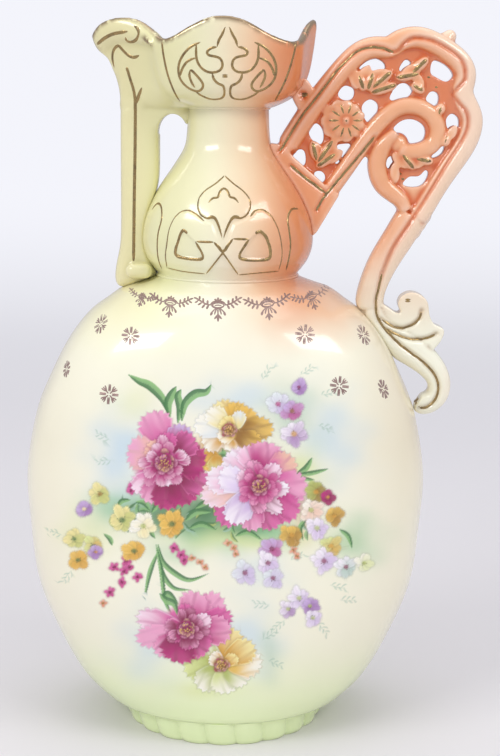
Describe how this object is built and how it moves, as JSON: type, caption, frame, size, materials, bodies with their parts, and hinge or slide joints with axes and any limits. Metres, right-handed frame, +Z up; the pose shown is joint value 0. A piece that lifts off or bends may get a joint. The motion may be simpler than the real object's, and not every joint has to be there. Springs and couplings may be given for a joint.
{
  "type": "ewer",
  "caption": "Glazed china ewer: flattened flask on a fluted foot, onion neck, lobed cup with beak and strut, and a pierced scroll handle with acanthus tail.",
  "frame": {"origin": "middle of the foot's standing face, on the table", "axes": "+Z up, +X towards the handle, -X towards the beak, -Y towards the painted front"},
  "size_m": [0.1924, 0.1, 0.3028],
  "materials": {
    "green_glaze": "glossy glaze",
    "cream_glaze": "glossy glaze",
    "neck_glaze": "glossy glaze",
    "cup_glaze": "glossy glaze",
    "yellow_glaze": "glossy glaze",
    "coral_glaze": "glossy glaze",
    "blush_glaze": "glossy glaze",
    "ivory_glaze": "glossy glaze",
    "gilt_coral_glaze": "glossy glaze"
  },
  "bodies": {
    "root": {"foot_ring": "green_glaze", "flask_body": "cream_glaze", "neck_bulb": "neck_glaze", "neck_relief_front": "neck_glaze", "neck_relief_back": "neck_glaze", "neck_relief_sides": "neck_glaze", "mouth_cup": "cup_glaze", "mouth_relief_front": "cup_glaze", "mouth_relief_back": "cup_glaze", "spout_lip": "yellow_glaze", "spout_strut": "yellow_glaze", "strut_knuckle": "yellow_glaze", "handle_root": "coral_glaze", "handle_bridge": "coral_glaze", "handle_outer_rail": "blush_glaze", "handle_inner_rail": "blush_glaze", "handle_c_scroll": "blush_glaze", "handle_knob": "coral_glaze", "fret_panel": "coral_glaze", "fret_flower": "gilt_coral_glaze", "fret_leaves": "gilt_coral_glaze", "handle_stem": "blush_glaze", "handle_leaf": "ivory_glaze", "handle_tail": "ivory_glaze"}
  },
  "joints": []
}
